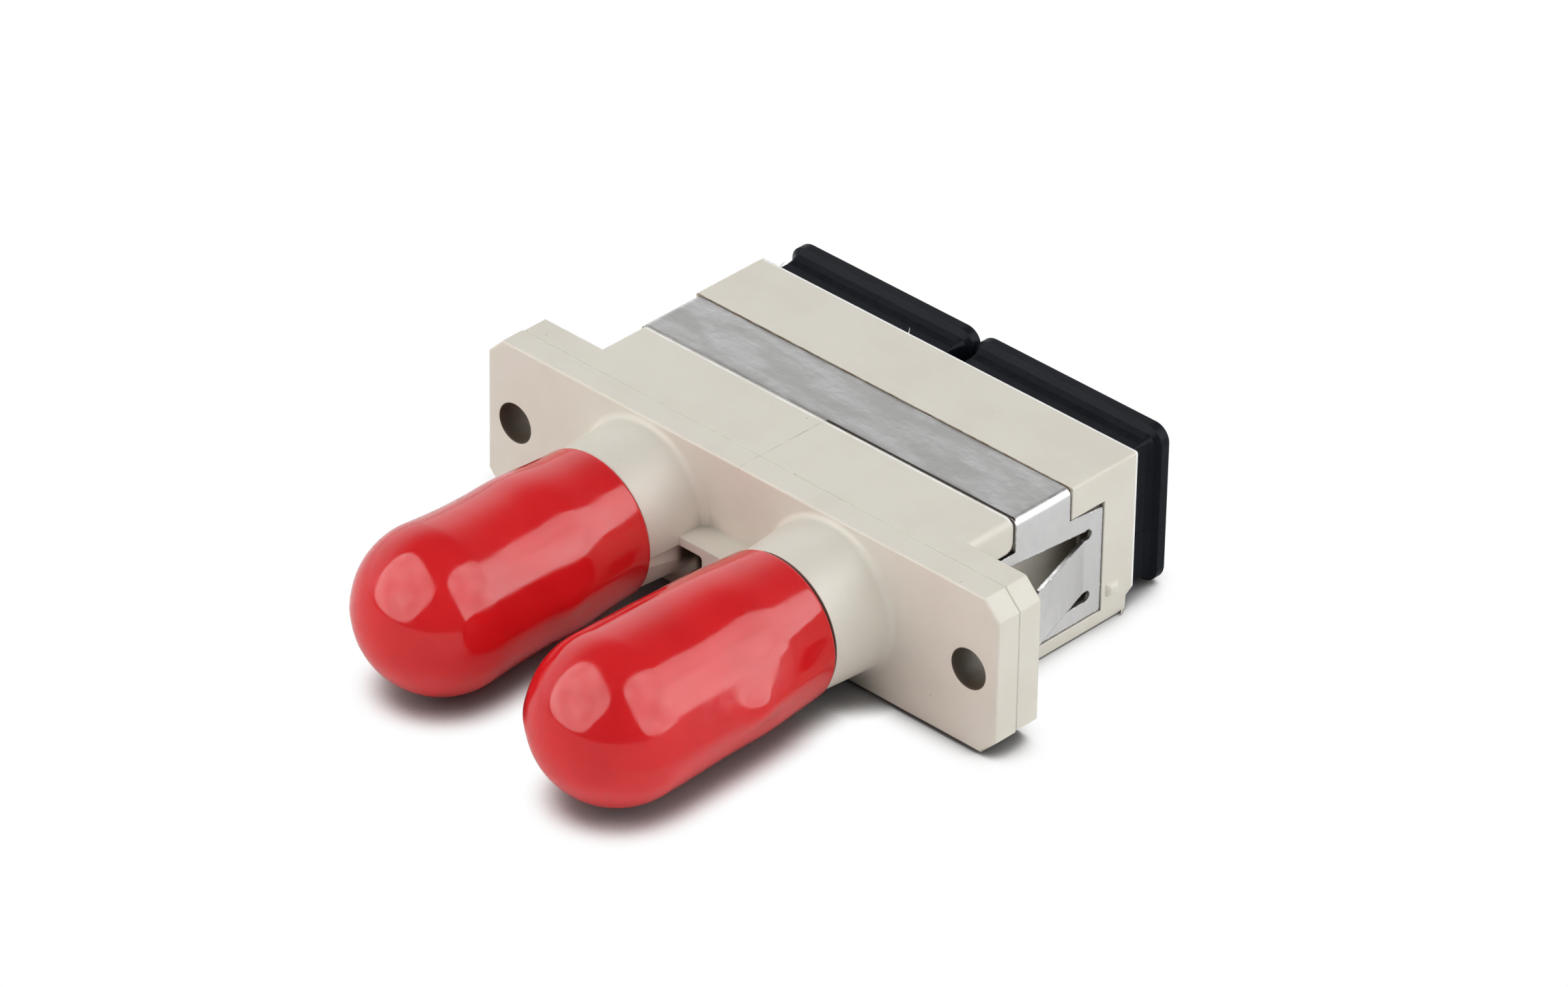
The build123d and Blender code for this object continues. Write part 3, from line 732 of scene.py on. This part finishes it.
@dataclass(frozen=True)
class RoundCap:
    """Soft red cap of one round port, stretched over the barrel and its two bayonet lugs."""

    port: Port
    rim_y: float
    length: float
    girth: Outline
    stretch: Outline
    dome_radius: float = 4.45
    lug_y: float = -12.4
    lug_round: float = 0.1
    lug_bump: float = 0.19
    lug_width: float = 0.95
    touch_round: float = 0.05
    long_wave: float = 0.012
    short_wave: float = 0.008
    wall: float = 0.5
    lug_wall: float = 0.22
    lip: float = 0.16
    around: int = 240
    dome_rings: int = 40
    shell_rings: int = 120
    rim_rings: int = 12

    @property
    def dome_y(self) -> float:
        """Place of the dome's centre along Y."""
        return self.rim_y - self.length + self.dome_radius

    def on_lug(self, angle: np.ndarray, y: np.ndarray) -> np.ndarray:
        """1 on the middle of a lug and 0 away from it, as a round bell."""
        across = np.arcsin(np.abs(np.sin(angle))) * self.dome_radius
        return bell(across, self.lug_width) * bell(y - self.lug_y, self.lug_width)

    def outer(self, angle: np.ndarray, y: np.ndarray) -> np.ndarray:
        """Outer radius before the dome.

        The girth is the radius between the lugs. Over the lugs the skin is pulled out by the
        stretch, like a band round a disc and two pegs: from a peg at radius girth + stretch
        it runs straight to where it touches the disc, at the angle a = arccos(girth / (girth
        + stretch)) from the peg, so that its radius at the angle b is girth / cos(a - b).
        Both turns are rounded, each as the root of a square and a small square: b near the
        peg, and a - b, which stays over 0, where the skin meets the disc. The lug's own end
        adds a bell, and three long and five short waves round the cap, turning with the
        place along it, stand for the uneven dipped skin. They fade out at the dome and rim.

        Args:
            angle: angles round the fibre's axis from the outer lug.
            y: places along the fibre.

        Returns:
            The radius at each angle and place.
        """
        girth, stretch = curve(self.girth, y), curve(self.stretch, y)
        off_peg = np.arcsin(np.abs(np.sin(angle)))
        off_peg = np.sqrt(off_peg**2 + self.lug_round**2) - self.lug_round
        lean = np.arccos(girth / (girth + stretch + TINY)) - off_peg
        lean = (lean + np.sqrt(lean**2 + self.touch_round**2)) / 2
        long_waves = self.long_wave * np.sin(3 * angle + 0.9 * y + self.port.value)
        waves = long_waves + self.short_wave * np.sin(5 * angle - 0.6 * y)
        fade = np.sin(math.pi * (y - self.dome_y) / (self.rim_y - self.dome_y)) ** 2
        return girth / np.cos(lean) + self.lug_bump * self.on_lug(angle, y) + waves * fade

    def rings(self) -> np.ndarray:
        """Rings from the dome's pole along the outside, round the rim and back along the inside.

        A dome's ring at angle a from the pole has radius r sin a and stands r cos a before
        the dome's centre. The rim is half a circle as thick as the wall there. The inside
        is the outside drawn in by the wall, which is thinner over the lugs.

        Returns:
            Rings by points by 3 array.
        """
        angle = np.linspace(0, 2 * math.pi, self.around, endpoint=False)[None, :]
        dome = np.linspace(0, math.pi / 2, self.dome_rings + 2)[1:-1, None]
        shell_y = np.linspace(self.dome_y, self.rim_y - self.lip, self.shell_rings)[:, None]
        turn = np.linspace(0, math.pi, self.rim_rings + 2)[1:-1, None]
        ones = np.ones_like(angle)
        outer = self.outer(angle, shell_y)
        wall = self.wall + (self.lug_wall - self.wall) * np.sqrt(self.on_lug(angle, shell_y))
        rim_outer, base = outer[-1:], outer[:1]
        rim_y = self.rim_y - self.lip + self.lip * np.sin(turn) * ones
        inside = self.dome_y - (self.dome_radius - self.wall) * np.cos(dome) * ones
        parts = (
            (base * np.sin(dome), self.dome_y - self.dome_radius * np.cos(dome) * ones),
            (outer, shell_y * ones),
            (rim_outer - self.wall / 2 * (1 - np.cos(turn)), rim_y),
            ((outer - wall)[::-1], shell_y[::-1] * ones),
            (((base - self.wall) * np.sin(dome))[::-1], inside[::-1]),
        )
        radius = np.concatenate([part[0] for part in parts])
        y = np.concatenate([part[1] for part in parts])
        return np.stack([self.port.axis_x + radius * np.cos(angle), y, radius * np.sin(angle)], axis=-1)

    def build(self, finish: bpy.types.Material) -> bpy.types.Object:
        """Builds the cap, which stands for its CAD node.

        Args:
            finish: material of the cap.

        Returns:
            The new piece.
        """
        tip = self.dome_y - self.dome_radius
        start = np.array([self.port.axis_x, tip, 0.0])
        end = np.array([self.port.axis_x, tip + self.wall, 0.0])
        points, faces = closed_revolution(self.rings(), start, end)
        word = self.port.word
        piece = mesh_piece(f"round_cap_{word}", points, faces, f"st_cap_{word}", finish)
        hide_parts(f"st_dust_cap_{word}")
        return piece


@dataclass(frozen=True)
class Nub:
    """Low rounded mark that the mould left on a face of the housing."""

    name: str
    centre: Vec
    half: tuple[float, float]
    height: float
    across: Vec
    up: Vec
    sides: int = 16

    def build(self, finish: bpy.types.Material) -> bpy.types.Object:
        """Builds the nub.

        Over the square of u and v from -1 to 1 it rises by (1 - u^4)(1 - v^4) times its
        height, and its underside is flat, half the height inside the face.

        Args:
            finish: material of the housing.

        Returns:
            The new piece.
        """
        line = np.linspace(-1, 1, self.sides + 1)
        u, v = (part[..., None] for part in np.meshgrid(line, line, indexing="ij"))
        across, up = np.array(self.across), np.array(self.up)
        out = np.cross(across, up)
        rise = self.height * (1 - u**4) * (1 - v**4)
        flat = np.array(self.centre) + u * self.half[0] * across + v * self.half[1] * up
        top = flat + (rise - self.height / 2 * (rise < TINY)) * out
        size = len(line)
        index = np.arange(size * size).reshape(size, size)
        quads = np.stack([index[:-1, :-1], index[1:, :-1], index[1:, 1:], index[:-1, 1:]], axis=-1)
        border = np.concatenate([index[0, :-1], index[:-1, -1], index[-1, :0:-1], index[:0:-1, 0]])
        faces = [quads.reshape(-1, 4), border[::-1][None, :]]
        return mesh_piece(self.name, top.reshape(-1, 3), faces, "adapter", finish)


@dataclass(frozen=True)
class Burr:
    """Fine burr that stands up from an edge of the housing."""

    name: str
    foot: Vec
    tip: Vec
    bow: Vec
    radius: float
    aslant: Vec = (0.36, 0.48, 0.8)
    taper_end: float = 0.96
    rings: int = 9
    around: int = 8

    def build(self, finish: bpy.types.Material) -> bpy.types.Object:
        """Builds the burr.

        Its middle line is foot + t (tip - foot) + 4 t (1 - t) bow, and its round section
        tapers from the radius as the root of 1 - t. The section's first axis is at right
        angles to a direction aslant, which no burr follows.

        Args:
            finish: material of the housing.

        Returns:
            The new piece.
        """
        t = np.linspace(0.0, self.taper_end, self.rings)[:, None, None]
        angle = np.linspace(0, 2 * math.pi, self.around, endpoint=False)[None, :, None]
        foot, tip = np.array(self.foot), np.array(self.tip)
        middle = foot + t * (tip - foot) + 4 * t * (1 - t) * np.array(self.bow)
        along = (tip - foot) / np.linalg.norm(tip - foot)
        across = np.cross(along, self.aslant)
        across = across / np.linalg.norm(across)
        section = np.cos(angle) * across + np.sin(angle) * np.cross(along, across)
        points, faces = closed_revolution(middle + self.radius * np.sqrt(1 - t) * section, foot, tip)
        return mesh_piece(self.name, points, faces, "adapter", finish)


@dataclass(frozen=True)
class Camera:
    """Camera at the photograph's viewing angle."""

    azimuth: float = 43.277
    elevation: float = 33.058
    roll: float = 0.986
    distance: float = 458.124
    target: Vec = (5.362, -5.414, 6.536)
    lens: float = 217.0
    sensor_width: float = 36.0
    clip_start: float = 10.0

    def build(self) -> None:
        """Places the camera on the line from the target and turns it by its roll."""
        a, e, r = (math.radians(angle) for angle in (self.azimuth, self.elevation, self.roll))
        back = Vector((math.sin(a) * math.cos(e), -math.cos(a) * math.cos(e), math.sin(e)))
        right = Vector((math.cos(a), math.sin(a), 0))
        up = back.cross(right)
        turned_right = math.cos(r) * right + math.sin(r) * up
        turned_up = math.cos(r) * up - math.sin(r) * right
        camera = bpy.data.objects.new("camera", bpy.data.cameras.new("camera"))
        camera.data.lens = self.lens
        camera.data.sensor_width = self.sensor_width
        camera.data.sensor_fit = "HORIZONTAL"
        camera.data.clip_start = self.clip_start * MM
        camera.matrix_world = Matrix((turned_right, turned_up, back)).transposed().to_4x4()
        camera.location = (Vector(self.target) + back * self.distance) * MM
        bpy.context.scene.collection.objects.link(camera)
        bpy.context.scene.camera = camera


@dataclass(frozen=True)
class Softbox:
    """One rectangular lamp with its own levels for light and for mirrored highlights."""

    name: str
    centre: Vec
    back: Vec
    width: float
    height: float
    light: float
    highlight: float
    colour: Rgb = (1.0, 1.0, 1.0)
    corner_power: float = 3.5
    fade_from: float = 0.72
    cloth_scale: float = 3.5
    cloth_dim: float = 0.72
    cloth_bright: float = 1.2

    def round_off(self, light: bpy.types.AreaLight) -> None:
        """Fades the lamp towards its border.

        With u and v from -1 to 1 over the lamp, the border is where u^n + v^n is 1, a
        rectangle with rounded corners, and the cloth grows brighter from there inwards. The
        cloth is a little uneven.

        Args:
            light: the lamp's data.
        """
        light.use_nodes = True
        lamp = Tree(light.node_tree)
        place = lamp.node("NewGeometry", {}).outputs["Parametric"]
        feeds = {0: place, 1: (2, 2, 0), 2: (-1, -1, 0)}
        centred = lamp.node("VectorMath", feeds, operation="MULTIPLY_ADD")
        u, v, _ = lamp.node("SeparateXYZ", {0: centred.outputs["Vector"]}).outputs
        sizes = (lamp.maths("ABSOLUTE", part) for part in (u, v))
        powers = [lamp.maths("POWER", size, self.corner_power) for size in sizes]
        fade = lamp.span(lamp.maths("ADD", *powers), 1.0, self.fade_from)
        cloth = lamp.node("TexNoise", {"Vector": place, "Scale": self.cloth_scale}).outputs["Fac"]
        uneven = lamp.ramp(cloth, 0.3, 0.7, self.cloth_dim, self.cloth_bright)
        lamp.feed(light.node_tree.nodes["Emission"].inputs["Strength"], lamp.product(fade, uneven))

    def build(self) -> None:
        """Hangs the lamp, which faces against its back; radiance L on area A takes the power pi L A."""
        turn = Vector(self.back).to_track_quat("Z", "Y").to_matrix().to_4x4()
        for part, radiance in (("light", self.light), ("highlight", self.highlight)):
            light = bpy.data.lights.new(f"{self.name}_{part}", "AREA")
            light.shape = "RECTANGLE"
            light.size = self.width * MM
            light.size_y = self.height * MM
            light.color = self.colour
            light.energy = math.pi * radiance * self.width * self.height * MM * MM
            self.round_off(light)
            lamp = bpy.data.objects.new(light.name, light)
            lamp.matrix_world = turn
            lamp.location = Vector(self.centre) * MM
            light.cycles.use_multiple_importance_sampling = part == "highlight"
            lamp.visible_glossy = part == "highlight"
            lamp.visible_diffuse = part == "light"
            bpy.context.scene.collection.objects.link(lamp)


@dataclass(frozen=True)
class Studio:
    """Pale floor, two soft lamps and a surrounding that is bright low down behind the object."""

    floor_z: float = -4.7
    floor_reach: float = 3000.0
    floor_sides: int = 96
    floor_tone: Rgb = (0.97, 0.97, 0.97)
    contact_shadow_tone: Rgb = (0.27, 0.27, 0.27)
    contact_shadow_reach: float = 2.4
    shadow_fade: tuple[float, float] = (27.0, 60.0)
    wall_level: float = 1.1
    room_level: float = 0.2
    wall_heights: tuple[float, float] = (0.8, 0.36)
    wall_sides: tuple[float, float] = (-0.35, 0.25)
    away: Vec = (-0.55, 0.83, 0.0)
    lamps: tuple[Softbox, ...] = (
        Softbox(
            "right_softbox",
            (508, 258, 334),
            (0.707, 0, 0.707),
            width=950,
            height=970,
            light=1.28,
            highlight=3.9,
        ),
        Softbox(
            "front_softbox",
            (-223, -469, 304),
            (-0.275, -0.579, 0.769),
            width=960,
            height=880,
            light=1.28,
            highlight=3.9,
            colour=(1.0, 0.985, 0.965),
        ),
    )

    def build_world(self) -> None:
        """Room that is dim above and towards the camera, and has a bright wall low down behind.

        The wall's share is a smooth step over the direction's height times one over how
        far the direction points away from the camera.
        """
        world = bpy.data.worlds.new("surrounding")
        bpy.context.scene.world = world
        world.use_nodes = True
        room = Tree(world.node_tree)
        room.tree.nodes.clear()
        direction = room.node("TexCoord", {}).outputs["Generated"]
        low_down = room.span(room.vector("DOT_PRODUCT", direction, Z_AXIS), *self.wall_heights)
        behind = room.span(room.vector("DOT_PRODUCT", direction, self.away), *self.wall_sides)
        level = room.ramp(room.product(low_down, behind), 0.0, 1.0, self.room_level, self.wall_level)
        light = room.node("Background", {"Color": (1, 1, 1, 1), "Strength": level})
        room.node("OutputWorld", {"Surface": light.outputs[0]})

    def build_floor(self) -> None:
        """Round floor whose paint gives way to plain white away from the object's shadow; near the object the
        paint carries a painted contact shadow.
        """
        graph = Graph("pale_floor")
        # Painted contact shadow: the floor's paint darkens where ambient occlusion finds the object close.
        open_sky = graph.creases(self.contact_shadow_reach, 16)
        tone = graph.blend(graph.span(open_sky, 0.25, 0.85), self.contact_shadow_tone, self.floor_tone)
        paint = graph.node("BsdfDiffuse", {"Color": tone}).outputs[0]
        white = graph.node("Emission", {"Color": (1, 1, 1, 1), "Strength": 1.0}).outputs[0]
        off_middle = graph.vector("LENGTH", graph.vector("MULTIPLY", graph.point, (1, 1, 0)))
        far = graph.span(off_middle, *self.shadow_fade)
        plain = graph.maths("MAXIMUM", far, graph.span(open_sky, 0.35, 0.88))
        path = graph.node("LightPath", {}).outputs
        seen = graph.maths("MAXIMUM", path["Is Camera Ray"], path["Is Transmission Ray"])
        mix = graph.node("MixShader", {0: graph.product(plain, seen), 1: paint, 2: white})
        graph.feed(graph.output.inputs["Surface"], mix.outputs[0])
        angle = np.linspace(0, 2 * math.pi, self.floor_sides, endpoint=False)
        ring = (self.floor_reach * np.cos(angle), self.floor_reach * np.sin(angle))
        points = np.stack([*ring, np.full_like(angle, self.floor_z)], axis=-1)
        mesh = bpy.data.meshes.new("floor")
        mesh.from_pydata((points * MM).tolist(), [], [list(range(self.floor_sides))])
        mesh.materials.append(graph.material)
        floor = bpy.data.objects.new("floor", mesh)
        bpy.context.scene.collection.objects.link(floor)

    def build(self) -> None:
        """Builds the surrounding, the floor, the lamps and the plain colour setting."""
        self.build_world()
        self.build_floor()
        for lamp in self.lamps:
            lamp.build()
        bpy.context.scene.view_settings.view_transform = "Standard"


@dataclass(frozen=True)
class Adapter:
    """The whole adapter: its finishes, its CAD nodes and the pieces made here."""

    beige: MouldedPlastic = MouldedPlastic(
        "housing_beige",
        colour=(0.728, 0.7, 0.622),
        shade=(0.702, 0.67, 0.592),
        wear_and_highlight=(0.88, 0.86, 0.81),
        edge=0.13,
    )
    steel: RolledSteel = RolledSteel(
        "clip_steel", colour=(0.72, 0.72, 0.72), dull=(0.61, 0.61, 0.615), top_shade=(0.4, 0.395, 0.385)
    )
    white: MouldedPlastic = MouldedPlastic(
        "insert_white",
        colour=(0.8, 0.8, 0.77),
        shade=(0.75, 0.75, 0.71),
        wear_and_highlight=(0.88, 0.88, 0.86),
        glow=0.2,
    )
    bronze: SpringBronze = SpringBronze("sleeve_bronze", colour=(0.72, 0.46, 0.24), dark=(0.5, 0.3, 0.15))
    red: SoftVinyl = SoftVinyl("cap_red", colour=(0.7, 0.012, 0.016), thin=(0.63, 0.009, 0.013))
    black: SatinRubber = SatinRubber("cap_black", colour=(0.0065, 0.008, 0.0115), wear_and_sheen=(0.05, 0.055, 0.065))
    left_cap: RoundCap = RoundCap(
        Port.LEFT,
        rim_y=-6.7,
        length=15.0,
        girth=((-17.3, 4.45), (-15.0, 4.29), (-12.8, 4.24), (-10.8, 4.28), (-8.4, 4.12), (-6.7, 4.04)),
        stretch=((-17.3, 0.04), (-14.2, 0.15), (-11.8, 0.15), (-9.6, 0.09), (-6.7, 0.0)),
        lug_bump=0.16,
    )
    right_cap: RoundCap = RoundCap(
        Port.RIGHT,
        rim_y=-6.85,
        length=15.5,
        girth=((-17.9, 4.45), (-14.6, 4.38), (-12.4, 4.335), (-10.8, 4.32), (-8.2, 4.15), (-6.85, 4.05)),
        stretch=((-17.9, 0.14), (-16.0, 0.23), (-13.6, 0.25), (-11.7, 0.32), (-9.6, 0.21), (-6.85, 0.0)),
    )
    marks: tuple[Burr | Nub, ...] = (
        Burr("rear_burr_middle", (-2.62, 11.93, 4.38), (-2.86, 12.3, 4.56), (0.03, 0.0, 0.0), 0.035),
        Burr("rear_burr_left", (-11.5, 11.9, 4.38), (-11.62, 12.4, 4.56), (-0.06, 0.0, 0.0), 0.03),
        Burr("rear_burr_low", (12.8, 11.3, -4.55), (13.08, 10.95, -4.6), (0.0, 0.03, 0.0), 0.07),
        Nub("mould_nub", (12.87, 10.36, -2.82), (0.42, 0.38), 0.28, Y_AXIS, Z_AXIS),
        Nub("parting_ridge", (0.0, 1.55, 4.45), (0.03, 1.5), 0.02, X_AXIS, Y_AXIS),
    )

    def dress(self, finishes: dict[str, bpy.types.Material]) -> list[bpy.types.Object]:
        """Gives every CAD node the finish of its material slot.

        Args:
            finishes: materials by the name of their slot.

        Returns:
            The dressed nodes.
        """
        nodes = []
        for row in frame["record"]["subparts"]:
            node = frame["nodes"][row["node"]]
            node.data.materials.clear()
            node.data.materials.append(finishes[row["material_slot"]])
            nodes.append(node)
        return nodes

    def build(self) -> list[bpy.types.Object]:
        """Dresses the CAD nodes and adds the soft caps and the moulding marks.

        Returns:
            All pieces, the dressed nodes first.
        """
        kinds = (self.beige, self.steel, self.white, self.bronze, self.red, self.black)
        finishes = {kind.name: kind.material() for kind in kinds}
        pieces = self.dress(finishes)
        pieces += [cap.build(finishes["cap_red"]) for cap in (self.left_cap, self.right_cap)]
        pieces += [mark.build(finishes["housing_beige"]) for mark in self.marks]
        return pieces


def main() -> None:
    """Builds the object, the camera and the studio."""
    logging.basicConfig(level=logging.INFO, format="%(message)s")
    for piece in Adapter().build():
        LOG.info("%s in %s", piece.name, piece.data.materials[0].name)
    Camera().build()
    Studio().build()


if __name__ == "__main__":
    main()
